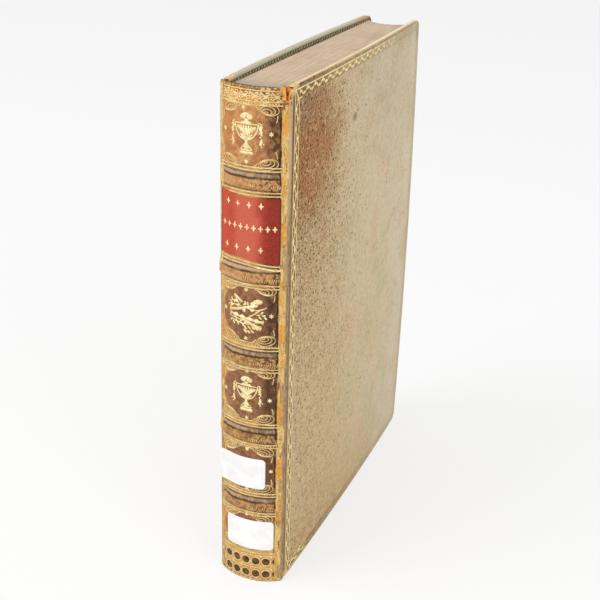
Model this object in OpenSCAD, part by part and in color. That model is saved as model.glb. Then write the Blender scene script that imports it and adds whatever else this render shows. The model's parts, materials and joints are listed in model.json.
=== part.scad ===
// A folio volume in sprinkled calf over pasteboard, sewn on five raised cords, with a tooled
// spine, a red lettering piece, two blank paper labels and the wear of long use.
// X is the thickness, with the front cover at +X. Y runs from the spine to the fore-edge.
// Z is up: the volume stands on its tail, and its origin is the middle of its footprint.

/* [Volume] */
// Height of the covers, tail to head
cover_h = 325; // [270:1:400]
// Width of a cover, joint to fore-edge
cover_w = 236; // [150:1:290]
// Thickness over both covers at the joints
joint_t = 43; // [34:0.5:60]
// Thickness over both covers at the fore-edge
fore_t = 40; // [34:0.5:58]
// How far the back is rounded out past the joints
round_d = 7.4; // [5:0.1:10]

/* [Covers] */
// Thickness of the pasteboard
pasteboard_t = 3; // [2:0.1:4.5]
// Thickness of the leather on the outside
leather_t = 0.8; // [0.5:0.05:1.2]
// Thickness of the pared leather that is turned in
turn_in_t = 0.5; // [0.3:0.05:0.8]
// Width of the leather turned in over the edges
turn_in_w = 17; // [13:0.5:25]
// Margin of turned-in leather that the pastedown leaves bare
dentelle_w = 9; // [5:0.5:11]
// Thickness of the endpapers
paper_t = 0.2; // [0.15:0.05:0.4]
// Radius of the worn fore corners
corner_r = 8; // [4:0.5:14]
// Radius of the cover edges
edge_r = 1.2; // [0.6:0.1:1.6]
// Cut across the corners at the joint, that makes room for the headcap
back_corner = 4.5; // [3:0.5:8]

/* [Text block] */
// How far the covers stand past the leaves at head and tail
head_square = 3; // [2:0.5:6]
// How far the covers stand past the leaves at the fore-edge
fore_square = 7.5; // [3:0.5:12]
// Depth of the hollow fore-edge
hollow_d = 9; // [4:0.5:11]

/* [Sewing] */
// Number of raised bands
bands = 5; // [4:1:6]
// Diameter of a sewing cord
cord_d = 2.6; // [2:0.1:3.4]
// Tail to the middle of the lowest band
tail_panel = 59; // [56:0.5:66]
// Head to the middle of the top band
head_panel = 53.4; // [46:0.2:62]
// How much taller each panel is than the one below it
panel_growth = 2.1; // [0:0.1:3]
// Width of a band across its foot
band_w = 8; // [6.5:0.1:10]
// Thickness of the paper lining between the bands
lining_t = 0.4; // [0.2:0.05:0.6]
// How far a cord is laced in from the joint
lace_y = 13; // [9:0.5:20]
// Width of a cord where it is frayed out flat
slip_w = 4.4; // [3:0.1:6]
// Depth of a slip's channel in the board
slip_d = 1.2; // [0.8:0.1:1.5]
// Radius of a slip's spread end inside the board
fan_r = 5; // [3.5:0.1:7]
// Thickness of a slip's spread end
fan_t = 0.5; // [0.3:0.05:0.7]

/* [Endbands] */
// Diameter of the endband core
core_d = 2; // [1.4:0.1:2.4]
// Thickness of the thread worked over the core
thread_t = 0.35; // [0.2:0.05:0.5]
// Turns of thread along an endband
thread_turns = 30; // [16:1:34]

/* [Spine] */
// How far the spine leather is turned in at head and tail
cap_h = 14; // [10:0.5:18]
// Width of the tear at the head of the front joint
tear_w = 5.5; // [3:0.5:9]
// Depth of the tear below the head
tear_h = 9; // [5:0.5:14]
// Width of the lettering piece round the spine
lettering_w = 39.5; // [30:0.5:40]
// Distance of the lettering piece from the bands beside it
lettering_gap = 9.6; // [8:0.1:12]
// Thickness of the lettering piece
lettering_t = 0.25; // [0.15:0.05:0.4]
// Width of a paper label
paper_label_w = 33; // [24:0.5:38]
// Height of a paper label
paper_label_h = 21.5; // [14:0.5:26]
// Corner radius of a paper label
paper_label_r = 2.5; // [1:0.1:4]
// How far the upper paper label stands below the middle of its panel
upper_label_drop = 2.5; // [-3:0.1:4]
// How far the lower paper label stands above the middle of its panel
lower_label_rise = 6.3; // [0:0.1:10]
// Turn of the upper paper label towards the front cover
upper_label_turn = -8; // [-12:0.5:0]
// Turn of the lower paper label towards the front cover
lower_label_turn = 1.4; // [0:0.1:6]
// Thickness of a paper label
paper_label_t = 0.12; // [0.1:0.01:0.2]

/* [Gilding] */
// Width of a gilt line
line_w = 0.7; // [0.4:0.05:1]
// Distance between the two lines of a fillet, middle to middle
line_step = 1.9; // [1.4:0.1:2.6]
// Distance of the spine fillets from the middle of a band
fillet_z = 6.3; // [5.8:0.1:7]
// Width of the tooling round the spine
tooling_w = 39.5; // [30:0.5:40]
// How far the tooling and the lettering piece sit towards the back cover
tooling_shift = 1.2; // [0:0.1:1.5]
// Height of the upper edge of the tooling at the tail
tail_tooling_h = 22; // [18:0.5:24]
// Depth of the lower edge of the tooling at the head
head_tooling_h = 10; // [8:0.5:14]
// Distance of the cover fillets from the edge of a cover
border_d = 2.2; // [1.6:0.1:4]
// How much further the fillets stand from the edge at the joint
border_joint = 1.9; // [0:0.1:3]
// Distance from the outer fillet of a cover to the inner one
border_w = 5.5; // [5:0.1:10]
// Thickness of the laid gold
gilt_t = 0.05; // [0.03:0.01:0.08]

/* [Fit] */
// Distance between the spine leather and the edge of a cover, measured along Y
joint_gap = 0.6; // [0.5:0.05:0.9]
// Distance between the board and the shoulder it opens against
board_gap = 1.2; // [1:0.05:1.6]
// Distance between a pastedown and the leaf that faces it
leaf_gap = 0.2; // [0.1:0.05:0.5]
// Clearance round pieces that are pasted or let in
fit = 0.04; // [0.02:0.01:0.08]

/* [Hidden] */
$fn = 96;
eps = 1;
lean = atan((joint_t - fore_t) / 2 / cover_w);
wrap_t = leather_t + pasteboard_t + turn_in_t;
cover_t = wrap_t + paper_t;
board_in = leather_t + pasteboard_t;
leaf_x = cover_t + leaf_gap;
block_x = leaf_x + paper_t + fit;
block_h = cover_h - 2 * head_square;
band_rise = cord_d - lining_t;
joint_y = -(cover_w - round_d - band_rise) / 2;
back_r = (pow(joint_t / 2, 2) + pow(round_d, 2)) / (2 * round_d);
back_y = joint_y - round_d + back_r;
inner_r = back_r - leather_t;
lining_r = inner_r - fit - lining_t;
block_r = lining_r - fit;
half_angle = asin(joint_t / 2 / back_r);
joint_angle = half_angle - arc_angle(joint_gap, back_r);
shoulder_y = board_gap - 0.45;
shoulder_x = sqrt(pow(block_r, 2) - pow(back_y - joint_y - shoulder_y, 2));
panel_h = (cover_h - tail_panel - head_panel - panel_growth * (bands - 1) * (bands - 2) / 2) / (bands - 1);
side_x = joint_t / 2 - joint_gap / 2;
skin_r = back_r + fit;
paper_skin_r = skin_r + gilt_t + fit;

// Angle in degrees of an arc of length l on radius r
function arc_angle(l, r) = l / r * 180 / PI;
// Height of the middle of band i, counted from the tail
function band_z(i) = tail_panel + (i - 1) * panel_h + panel_growth * (i - 1) * (i - 2) / 2;
// Point of a cover's own section, at depth d below its face and y from the joint, in plan
function cover_point(d, y) = [
    joint_t / 2 - d * cos(lean) - y * sin(lean),
    joint_y + y * cos(lean) - d * sin(lean)
];
function mirrored(points) = [for (i = [len(points) - 1:-1:0]) [-points[i].x, points[i].y]];

// Places children in the front cover: X is 0 on its face, Y is 0 at the joint
module in_front_cover() translate([joint_t / 2, joint_y, 0]) rotate(lean) children();
module in_back_cover() mirror([1, 0, 0]) in_front_cover() children();
// A slab of thickness t below the plane x = x0, from an outline drawn in Y and Z
module slab(x0, t) translate([x0 - t, 0, 0]) rotate([90, 0, 90]) linear_extrude(t) children();
// Turns a profile of radius and height round the back, a_min to a_max from the middle
module round_back(a_min, a_max)
    translate([0, back_y, 0]) rotate([0, 0, a_min - 90]) rotate_extrude(angle = a_max - a_min) children();
// What is left of a square corner when it is rounded to radius r about the origin
module corner_waste(r) difference() {
    square(r + eps);
    circle(r);
}

// Outline of a cover: joint at y0, edges brought in by m, back corners cut, fore corners round
module cover_outline(y0, m, r) {
    far = cover_w - m;
    top = cover_h - m;
    cut = back_corner;
    difference() {
        polygon([[y0, m + cut], [y0 + cut, m], [far, m], [far, top], [y0 + cut, top], [y0, top - cut]]);
        translate([far - r, top - r]) corner_waste(r);
        translate([far - r, m + r]) mirror([0, 1]) corner_waste(r);
    }
}

// The whole wrapped cover, with its edges rounded at head, tail and fore-edge
module cover_form() intersection() {
    slab(0, wrap_t) cover_outline(joint_gap, 0, corner_r);
    translate([0, cover_w + eps, 0]) rotate([90, 0, 0]) linear_extrude(cover_w + 2 * eps) difference() {
        translate([-wrap_t, 0]) square([wrap_t, cover_h]);
        translate([-edge_r, cover_h - edge_r]) corner_waste(edge_r);
        translate([-edge_r, edge_r]) mirror([0, 1]) corner_waste(edge_r);
        translate([edge_r - wrap_t, cover_h - edge_r]) mirror([1, 0]) corner_waste(edge_r);
        translate([edge_r - wrap_t, edge_r]) rotate(180) corner_waste(edge_r);
    }
    translate([0, 0, -eps]) linear_extrude(cover_h + 2 * eps) difference() {
        translate([-wrap_t, 0]) square([wrap_t, cover_w]);
        translate([-edge_r, cover_w - edge_r]) corner_waste(edge_r);
        translate([edge_r - wrap_t, cover_w - edge_r]) mirror([1, 0]) corner_waste(edge_r);
    }
}

// The rectangle inside the turned-in leather, brought in by m
module window(m) translate([board_gap, turn_in_w + m])
    square([cover_w - turn_in_w - m - board_gap, cover_h - 2 * (turn_in_w + m)]);

// The leather of one cover, turned in over three edges of the board
module cover_leather() color("peru") difference() {
    cover_form();
    slab(-leather_t, pasteboard_t) cover_outline(-eps, leather_t, corner_r - leather_t);
    slab(-board_in, turn_in_t + eps) window(0);
    translate([-wrap_t - eps, -eps, -eps])
        cube([wrap_t - leather_t + eps, board_gap + eps, cover_h + 2 * eps]);
}

// A cord end laced into the board: a flat slip outside, through its hole, fanned out inside
module slip_form(i, g) translate([0, 0, band_z(i)]) {
    translate([-leather_t - slip_d - g, board_gap, -slip_w / 2 - g])
        cube([slip_d, lace_y - board_gap, slip_w + 2 * g]);
    translate([-board_in, lace_y, 0]) rotate([0, 90, 0]) cylinder(d = slip_w + 2 * g, h = pasteboard_t - g);
    translate([-board_in, lace_y, 0]) rotate([0, 90, 0]) cylinder(r = fan_r + g, h = fan_t + g);
}
module slip(i) color("wheat") slip_form(i, 0);

// Pasteboard of one cover, with a channel and a hole for each laced-in cord
module board() color("tan") difference() {
    slab(-leather_t - fit, pasteboard_t - 2 * fit)
        cover_outline(board_gap, leather_t + fit, corner_r - leather_t - fit);
    for (i = [1:bands]) {
        slip_form(i, fit);
        translate([-leather_t - slip_d, 0, band_z(i) - slip_w / 2 - fit])
            cube([slip_d + eps, lace_y, slip_w + 2 * fit]);
        translate([-leather_t - slip_d, lace_y, band_z(i)]) rotate([0, 90, 0])
            cylinder(d = slip_w + 2 * fit, h = slip_d + eps);
        translate([-board_in - eps, lace_y, band_z(i)]) rotate([0, 90, 0]) cylinder(r = fan_r + fit, h = eps + fit);
    }
}

// Pastedown with the filling that brings the board level with the turned-in leather
module pastedown() color("lightgray") {
    slab(-board_in - fit, turn_in_t) window(fit);
    slab(-wrap_t - fit, paper_t - fit) translate([board_gap, dentelle_w])
        square([cover_w - dentelle_w - board_gap, cover_h - 2 * dentelle_w]);
}

// One gilt line round a cover, its outer edge at distance d from the cover's edges
module border_line(d) {
    r = corner_r - d;
    difference() {
        cover_outline_inner(d, r);
        cover_outline_inner(d + line_w, r - line_w);
    }
}
module cover_outline_inner(d, r) difference() {
    near = joint_gap + border_joint + d;
    translate([near, d]) square([cover_w - near - d, cover_h - 2 * d]);
    if (r > 0) {
        translate([cover_w - d - r, cover_h - d - r]) corner_waste(r);
        translate([cover_w - d - r, d + r]) mirror([0, 1]) corner_waste(r);
    }
}
// Two lines round a cover, with room for a roll between them
module cover_gilding() color("gold") slab(gilt_t + fit, gilt_t) {
    border_line(border_d);
    border_line(border_d + border_w);
}

// Leaves, sewn, rounded and backed: round back, shoulders at the joints, hollow fore-edge
module text_block() color("antiquewhite") {
    near = shoulder_y + joint_y;
    far = cover_w - fore_square;
    flank = [cover_point(block_x, shoulder_y + eps), cover_point(block_x, far)];
    half = [flank[1], flank[0], [flank[0].x, near - eps]];
    chord = flank[1].x;
    hollow_r = (pow(chord, 2) + pow(hollow_d, 2)) / (2 * hollow_d);
    translate([0, 0, head_square]) difference() {
        union() {
            linear_extrude(block_h) polygon(concat(half, mirrored(half)));
            intersection() {
                translate([0, back_y, 0]) cylinder(r = block_r, h = block_h);
                translate([-shoulder_x, near - block_r, 0]) cube([2 * shoulder_x, block_r, block_h]);
            }
        }
        translate([0, flank[1].y + hollow_r - hollow_d, -eps]) cylinder(r = hollow_r, h = block_h + 2 * eps);
    }
}
module free_endpaper() color("ivory") slab(-leaf_x, paper_t) translate([board_gap, head_square])
    square([cover_w - fore_square - board_gap, block_h]);

// A cord across the back, on which the leaves are sewn
module sewing_cord(i) color("burlywood") {
    r = block_r + fit + cord_d / 2;
    a = asin((side_x - fit) / (r + cord_d / 2));
    translate([0, 0, band_z(i)]) round_back(-a, a) translate([r, 0]) circle(d = cord_d);
}

// Paper lining of panel i of the back, between two cords or up to the turned-in leather
module spine_lining(i) color("beige") {
    low = i == 1 ? cap_h : band_z(i - 1) + cord_d / 2;
    high = i == bands + 1 ? cover_h - cap_h : band_z(i) - cord_d / 2;
    a = asin(shoulder_x / lining_r) - arc_angle(paper_t, lining_r);
    round_back(-a, a) translate([lining_r, low + leaf_gap]) square([lining_t, high - low - 2 * leaf_gap]);
}

// Place of an endband: radius and height of the middle of its core
endband_r = block_r - core_d / 2 - thread_t - turn_in_t;
endband_z = core_d / 2 + thread_t + fit;
endband_angle = half_angle - arc_angle(4 * core_d, back_r);
module at_head() translate([0, 0, cover_h - head_square]) children();
module at_tail() translate([0, 0, head_square]) mirror([0, 0, 1]) children();
module endband_core() color("linen")
    round_back(-endband_angle, endband_angle) translate([endband_r, endband_z]) circle(d = core_d);

// Point of a ring round the core, at angle a along the back and angle s round the core
function ring_point(a, s, r) = [
    (endband_r + r * cos(s)) * sin(a),
    back_y - (endband_r + r * cos(s)) * cos(a),
    endband_z + r * sin(s)
];
// Rings of a tube round the core, one for each radius in the list
function tube(radii, sides, reach) = [
    for (i = [0:len(radii) - 1], j = [0:sides - 1])
        ring_point(reach * (2 * i / (len(radii) - 1) - 1), j * 360 / sides, radii[i])
];
// Triangles between the rings, counted from point k, turned inside out when flip is true
function tube_faces(rings, sides, k, flip) = [
    for (i = [0:rings - 2], j = [0:sides - 1], h = [0, 1])
        let (a = k + i * sides, b = a + sides, n = (j + 1) % sides,
            f = h == 0 ? [a + j, a + n, b + n] : [a + j, b + n, b + j])
        flip ? [f[2], f[1], f[0]] : f
];
// Triangles between the outer ring from point k and the inner ring from point m
function cap_faces(sides, k, m, flip) = [
    for (j = [0:sides - 1], h = [0, 1])
        let (n = (j + 1) % sides, f = h == 0 ? [k + j, m + n, k + n] : [k + j, m + j, m + n])
        flip ? [f[2], f[1], f[0]] : f
];
// Thread worked over the core: each turn stands proud as a bead
module endband_thread() color("cadetblue") {
    sides = 8;
    ridge = thread_t / 3;
    hole = (core_d / 2 + fit) / cos(180 / sides);
    outer = [for (i = [0:3 * thread_turns]) core_d / 2 + thread_t - (i % 3 == 0 ? ridge : 0)];
    inner = [for (i = [0:16]) hole];
    reach = endband_angle - arc_angle(thread_t, endband_r);
    points = concat(tube(outer, sides, reach), tube(inner, sides, reach));
    m = len(outer) * sides;
    last_in = m + (len(inner) - 1) * sides;
    polyhedron(points, concat(
        tube_faces(len(outer), sides, 0, false),
        tube_faces(len(inner), sides, m, true),
        cap_faces(sides, 0, m, false),
        cap_faces(sides, m - sides, last_in, true)
    ));
}

// Arched section over a cord: points from height z1 to z2, rise above radius r, foot half-width w
function band_arch(i, r, rise, w, up) = [
    for (s = [0:10])
        let (a = 180 * (up ? s : 10 - s) / 10)
        [r + rise * sqrt(sin(a)), band_z(i) - w * cos(a)]
];
// Leather of the back: moulded over the cords, turned in at head and tail, torn at the front joint
module spine_leather() color("saddlebrown") {
    fold_r = (back_r - lining_r) / 2;
    fold_x = lining_r + fold_r;
    outside = [for (i = [1:bands]) each band_arch(i, back_r, band_rise, band_w / 2, true)];
    inside = [for (i = [bands:-1:1]) each band_arch(i, inner_r, band_rise, band_w / 2 - leather_t, false)];
    tail_fold = [for (s = [0:6]) let (a = 180 + 30 * s) [fold_x + fold_r * cos(a), fold_r + fold_r * sin(a)]];
    head_fold = [for (s = [0:6]) let (a = 30 * s) [fold_x + fold_r * cos(a), cover_h - fold_r + fold_r * sin(a)]];
    difference() {
        intersection() {
            round_back(-joint_angle, joint_angle) polygon(concat(
                tail_fold, outside, head_fold,
                [[lining_r, cover_h - cap_h], [inner_r, cover_h - cap_h]],
                inside,
                [[inner_r, cap_h], [lining_r, cap_h]]
            ));
            translate([-side_x, back_y - 2 * back_r, -eps]) cube([2 * side_x, 2 * back_r, cover_h + 2 * eps]);
        }
        head_tear();
    }
}
// The piece that is torn away at the head of the front joint
module head_tear() {
    mid = side_x - tear_w / 2;
    translate([mid, back_y, cover_h - tear_h]) rotate([90, 0, 0]) linear_extrude(2 * back_r) polygon([
        [-tear_w / 2, tear_h + eps], [-0.3 * tear_w, 0.62 * tear_h], [-0.34 * tear_w, 0.4 * tear_h],
        [-0.05 * tear_w, 0.12 * tear_h], [0.2 * tear_w, 0], [tear_w, 0.25 * tear_h], [tear_w, tear_h + eps]
    ]);
}

// A tooled skin of thickness t on the back, w round it and from low to high
module back_skin(w, low, high, t) {
    a = arc_angle(w / 2, back_r);
    shift = arc_angle(tooling_shift, back_r);
    round_back(-a - shift, a - shift) translate([skin_r, low]) square([t, high - low]);
}
module lettering_piece() color("firebrick")
    back_skin(lettering_w, band_z(bands - 1) + lettering_gap, band_z(bands) - lettering_gap, lettering_t);

// Paper label: middle at height z, turned a round the back, kept on the back by the joint
module paper_label(z, turn) color("white") {
    reach = back_r * sin(arc_angle(paper_label_w / 2, back_r));
    r = paper_label_r;
    intersection() {
        round_back(-joint_angle, joint_angle)
            translate([paper_skin_r, z - paper_label_h]) square([paper_label_t, 2 * paper_label_h]);
        translate([0, back_y, z]) rotate([90, 0, turn]) linear_extrude(2 * back_r) difference() {
            square([2 * reach, paper_label_h], center = true);
            for (x = [0, 1], y = [0, 1]) mirror([x, 0]) mirror([0, y])
                translate([reach - r, paper_label_h / 2 - r]) corner_waste(r);
        }
    }
}

// Gilt fillets round the back, two lines on each side of a band and at head and tail
module spine_gilding() color("gold") {
    low = [for (i = [1:bands], k = [0, 1], s = [-1, 1]) band_z(i) + s * (fillet_z + k * line_step)];
    ends = [for (k = [0, 1]) each [tail_tooling_h - k * line_step, cover_h - head_tooling_h + k * line_step]];
    for (z = concat(low, ends)) back_skin(tooling_w, z - line_w / 2, z + line_w / 2, gilt_t);
}

text_block();
in_front_cover() free_endpaper();  // front_free_endpaper
in_back_cover() free_endpaper();  // back_free_endpaper
for (i = [1:bands]) sewing_cord(i);
for (i = [1:bands + 1]) spine_lining(i);
at_head() endband_core();  // head_endband_core
at_head() endband_thread();  // head_endband_thread
at_tail() endband_core();  // tail_endband_core
at_tail() endband_thread();  // tail_endband_thread
spine_leather();
spine_gilding();
lettering_piece();
paper_label((band_z(1) + band_z(2)) / 2 - upper_label_drop, upper_label_turn);  // upper_paper_label
paper_label(band_z(1) / 2 + lower_label_rise, lower_label_turn);  // lower_paper_label
in_front_cover() board();  // front_board
in_front_cover() cover_leather();  // front_leather
in_front_cover() pastedown();  // front_pastedown
in_front_cover() cover_gilding();  // front_gilding
for (i = [1:bands]) in_front_cover() slip(i);
in_back_cover() board();  // back_board
in_back_cover() cover_leather();  // back_leather
in_back_cover() pastedown();  // back_pastedown
in_back_cover() cover_gilding();  // back_gilding
for (i = [1:bands]) in_back_cover() slip(i);
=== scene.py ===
# An old folio in sprinkled calf, with a gilt spine, a red lettering piece and two paper labels.
import bpy
import json
import math
import random
from mathutils import Matrix, Vector, noise

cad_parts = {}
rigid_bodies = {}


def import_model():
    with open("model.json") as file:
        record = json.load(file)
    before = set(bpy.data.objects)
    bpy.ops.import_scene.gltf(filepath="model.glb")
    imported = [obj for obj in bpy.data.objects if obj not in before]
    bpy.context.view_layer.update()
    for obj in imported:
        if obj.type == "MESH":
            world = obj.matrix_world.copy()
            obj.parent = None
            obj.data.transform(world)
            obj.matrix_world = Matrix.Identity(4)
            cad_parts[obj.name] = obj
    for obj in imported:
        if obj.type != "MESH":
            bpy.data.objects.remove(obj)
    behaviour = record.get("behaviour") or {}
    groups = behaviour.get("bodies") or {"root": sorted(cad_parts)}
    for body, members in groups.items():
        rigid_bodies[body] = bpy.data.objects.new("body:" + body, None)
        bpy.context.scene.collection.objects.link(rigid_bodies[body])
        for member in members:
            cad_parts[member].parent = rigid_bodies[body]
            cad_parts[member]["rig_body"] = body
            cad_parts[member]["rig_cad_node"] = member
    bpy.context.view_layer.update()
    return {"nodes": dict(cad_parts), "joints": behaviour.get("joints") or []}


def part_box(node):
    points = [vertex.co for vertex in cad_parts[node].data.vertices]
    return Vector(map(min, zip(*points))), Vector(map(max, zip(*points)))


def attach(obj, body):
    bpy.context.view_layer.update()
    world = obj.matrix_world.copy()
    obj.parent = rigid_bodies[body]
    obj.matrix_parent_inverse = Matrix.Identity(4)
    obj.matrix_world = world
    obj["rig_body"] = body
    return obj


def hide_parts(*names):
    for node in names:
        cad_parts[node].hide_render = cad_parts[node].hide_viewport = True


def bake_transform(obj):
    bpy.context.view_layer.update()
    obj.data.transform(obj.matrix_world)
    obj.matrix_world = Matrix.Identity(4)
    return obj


mm = 0.001
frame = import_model()
nodes = frame["nodes"]
hinges = {j["name"]: Vector(j["pos_m"]) for j in frame["joints"]}

# Sizes of the binding that several pieces share, read from the frame where it has them
book = {
    "height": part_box("front_leather")[1].z,
    "jointX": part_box("front_leather")[1].x,
    "jointY": hinges["front_joint"].y,
    "coverWidth": 236 * mm,
    "foreX": 20 * mm,           # half thickness over the covers at the fore-edge
    "coverThick": 4.3 * mm,     # board with both leathers
    "roundDepth": 7.4 * mm,     # how far the back is rounded out
    "bow": {1: (1.9 * mm, 1.7 * mm), -1: (0.6 * mm, 2.8 * mm)},  # at the fore-edge's and the width's middle
    "bandRise": 2.2 * mm,
    "bandHalf": 5.0 * mm,
    "flat": (0.9, 0.5, 0.95, 0.1, 0.9),  # share of its rise that each band loses at the left
    "bands": [sum(c.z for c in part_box(f"sewing_cord_{i}")) / 2 for i in range(1, 6)],
}
backRadius = (book["jointX"] ** 2 + book["roundDepth"] ** 2) / (2 * book["roundDepth"])
backCentreY = book["jointY"] - book["roundDepth"] + backRadius
lean = math.atan((book["jointX"] - book["foreX"]) / book["coverWidth"])


# Camera at the photograph's place
camera = {
    "lens": 68.617,
    "place": (0.25626, -0.67364, 0.46884),
    "azimuth": 22.041,
    "elevation": 23.83,
    "roll": -1.49,
}


def setCamera():
    az, el, roll = (math.radians(camera[k]) for k in ("azimuth", "elevation", "roll"))
    forward = Vector((-math.sin(az) * math.cos(el), math.cos(az) * math.cos(el), -math.sin(el)))
    right = forward.cross(Vector((0, 0, 1))).normalized()
    down = forward.cross(right)
    across = math.cos(roll) * right + math.sin(roll) * down
    up = math.sin(roll) * right - math.cos(roll) * down
    turn = Matrix((across, up, -forward)).transposed()
    bpy.ops.object.camera_add(location=camera["place"], rotation=turn.to_euler())
    eye = bpy.context.object
    eye.name = "photoView"
    eye.data.lens = camera["lens"]
    eye.data.sensor_width = 36
    bpy.context.scene.camera = eye


# Shader maths: a socket that can be added, scaled and compared like a number
class Value:
    def __init__(self, finish, socket):
        self.finish, self.socket = finish, socket

    def __add__(self, other): return self.finish.maths("ADD", self, other)
    def __radd__(self, other): return self.finish.maths("ADD", other, self)
    def __sub__(self, other): return self.finish.maths("SUBTRACT", self, other)
    def __rsub__(self, other): return self.finish.maths("SUBTRACT", other, self)
    def __mul__(self, other): return self.finish.maths("MULTIPLY", self, other)
    def __rmul__(self, other): return self.finish.maths("MULTIPLY", other, self)
    def __truediv__(self, other): return self.finish.maths("DIVIDE", self, other)
    def __abs__(self): return self.finish.maths("ABSOLUTE", self)
    def __pow__(self, other): return self.finish.maths("POWER", self, other)
    def least(self, other): return self.finish.maths("MINIMUM", self, other)
    def most(self, other): return self.finish.maths("MAXIMUM", self, other)

    def rise(self, low, high):  # 0 below low, 1 above high, smooth between them; falls if low is above high
        sockets = {"Value": self, "From Min": low, "From Max": high}
        return self.finish.node("ShaderNodeMapRange", {"interpolation_type": "SMOOTHSTEP"}, sockets)


class Finish:
    def __init__(self, name, **fixed):
        self.material = bpy.data.materials.new(name)
        self.material.use_nodes = True
        self.tree = self.material.node_tree
        self.shader = self.tree.nodes["Principled BSDF"]
        for socket, value in fixed.items():
            self.shader.inputs[socket.replace("_", " ")].default_value = value
        place = self.node("ShaderNodeTexCoord", output="Object")
        self.place = self.node("ShaderNodeVectorMath", {"operation": "SCALE"}, {0: place, "Scale": 1 / mm})
        self.x, self.y, self.z = (
            self.node("ShaderNodeSeparateXYZ", {}, {0: self.place}, output=k) for k in range(3))

    def node(self, kind, settings=None, sockets=None, output=0):
        made = self.tree.nodes.new(kind)
        for name, setting in (settings or {}).items():
            setattr(made, name, setting)
        for name, value in (sockets or {}).items():
            if isinstance(value, Value):
                self.tree.links.new(value.socket, made.inputs[name])
            else:
                made.inputs[name].default_value = value
        return Value(self, made.outputs[output])

    def maths(self, operation, *values):
        return self.node("ShaderNodeMath", {"operation": operation}, dict(enumerate(values)))

    def mix(self, share, one, other, how="MIX"):
        sockets = {0: share, 6: one, 7: other}
        return self.node("ShaderNodeMix", {"data_type": "RGBA", "blend_type": how}, sockets, output=2)

    def stretched(self, x, y, z):
        return self.node("ShaderNodeVectorMath", {"operation": "MULTIPLY"}, {0: self.place, 1: (x, y, z)})

    def vector(self, x, y, z):
        return self.node("ShaderNodeCombineXYZ", {}, {0: x, 1: y, 2: z})

    def cloud(self, scale, detail=2.0, rough=0.5, where=None):
        sockets = {"Vector": where or self.place, "Scale": scale, "Detail": detail, "Roughness": rough}
        return self.node("ShaderNodeTexNoise", {}, sockets)

    def cells(self, scale, where):  # distance to a point in each flat cell, and two random numbers of the cell
        sockets = {"Vector": where, "Scale": scale}
        spread = self.node("ShaderNodeTexVoronoi", {"voronoi_dimensions": "2D"}, sockets)
        colour = Value(self, spread.socket.node.outputs["Color"])
        parts = [self.node("ShaderNodeSeparateColor", {}, {0: colour}, output=k) for k in range(2)]
        return spread, parts[0], parts[1]

    def wear(self, **links):
        for socket, value in links.items():
            self.tree.links.new(value.socket, self.shader.inputs[socket.replace("_", " ")])

    def relief(self, height, depth, strength=0.6):
        sockets = {"Height": height, "Distance": depth, "Strength": strength}
        self.wear(Normal=self.node("ShaderNodeBump", {}, sockets))


def tone(red, green, blue):  # a colour as it looks, made linear
    return tuple(
        c / 12.92 if c < 0.04045 else ((c + 0.055) / 1.055) ** 2.4
        for c in (red / 255, green / 255, blue / 255)) + (1.0,)


# Tools for making pieces
def deselect():
    bpy.ops.object.select_all(action="DESELECT")


def pick(piece):
    deselect()
    piece.select_set(True)
    bpy.context.view_layer.objects.active = piece


def joined(pieces, name):
    pick(pieces[0])
    for piece in pieces:
        piece.select_set(True)
    if len(pieces) > 1:
        bpy.ops.object.join()
    whole = bpy.context.object
    whole.name = whole.data.name = name
    return whole


def modify(piece, kind, **settings):
    pick(piece)
    modifier = piece.modifiers.new(kind.lower(), kind)
    for name, value in settings.items():
        setattr(modifier, name, value)
    bpy.ops.object.modifier_apply(modifier=modifier.name)


def settle(piece):
    pick(piece)
    bpy.ops.object.transform_apply(location=True, rotation=True, scale=True)


def mended(piece, gap=0.001 * mm):
    pick(piece)
    bpy.ops.object.mode_set(mode="EDIT")
    bpy.ops.mesh.select_all(action="SELECT")
    bpy.ops.mesh.remove_doubles(threshold=gap)
    bpy.ops.mesh.normals_make_consistent(inside=False)
    bpy.ops.object.mode_set(mode="OBJECT")


def cut(piece, axis, places):
    pick(piece)
    bpy.ops.object.mode_set(mode="EDIT")
    for place in places:
        spot, across = [0, 0, 0], [0, 0, 0]
        spot[axis], across[axis] = place, 1
        bpy.ops.mesh.select_all(action="SELECT")
        bpy.ops.mesh.bisect(plane_co=spot, plane_no=across)
    bpy.ops.object.mode_set(mode="OBJECT")


def finished(piece, finish, body, smooth=True):
    settle(piece)
    if smooth == "soft":
        bpy.ops.object.shade_smooth_by_angle(angle=math.radians(35))
    elif smooth:
        bpy.ops.object.shade_smooth()
    piece.data.materials.clear()
    piece.data.materials.append(finish.material)
    if body:
        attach(piece, body)
    return piece


def copied(node, name):  # a loose copy of a CAD node, to be reshaped and to take its place
    piece = nodes[node].copy()
    piece.data = piece.data.copy()
    piece.parent = None
    bpy.context.scene.collection.objects.link(piece)
    piece.name = piece.data.name = name
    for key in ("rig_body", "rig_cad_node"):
        del piece[key]
    mended(piece)
    return piece


def dress(finish, *names):
    for name in names:
        nodes[name].data.materials.clear()
        nodes[name].data.materials.append(finish.material)


# Where the leather is: u round the back from its middle, h up from the tail, w out from the leather
def bandLift(u, h):  # the bands are pressed flatter at the left
    for number, middle in enumerate(book["bands"], 1):
        t = abs(h - middle) / book["bandHalf"]
        if t < 1:
            left = max(0, min(1, (-u / mm - 10) / 8))
            return book["bandRise"] * (1 - t * t) ** 0.65 * (1 - book["flat"][number - 1] * left)
    return 0


def hollows(u, h):  # shallow dents and drying cracks, always inwards
    spot = Vector((u, h, 0)) / mm
    dents = noise.noise(spot / 9) * 0.07 + noise.noise(spot / 2.3) * 0.035
    edge = max(0, (abs(u) - 14 * mm) / (8 * mm))
    crack = max(0, 1 - abs(noise.noise(Vector((spot.x / 1.5, spot.y / 7, 3)))) * 9)
    return (dents - 0.11 - crack * 0.12 * edge) * mm


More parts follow.
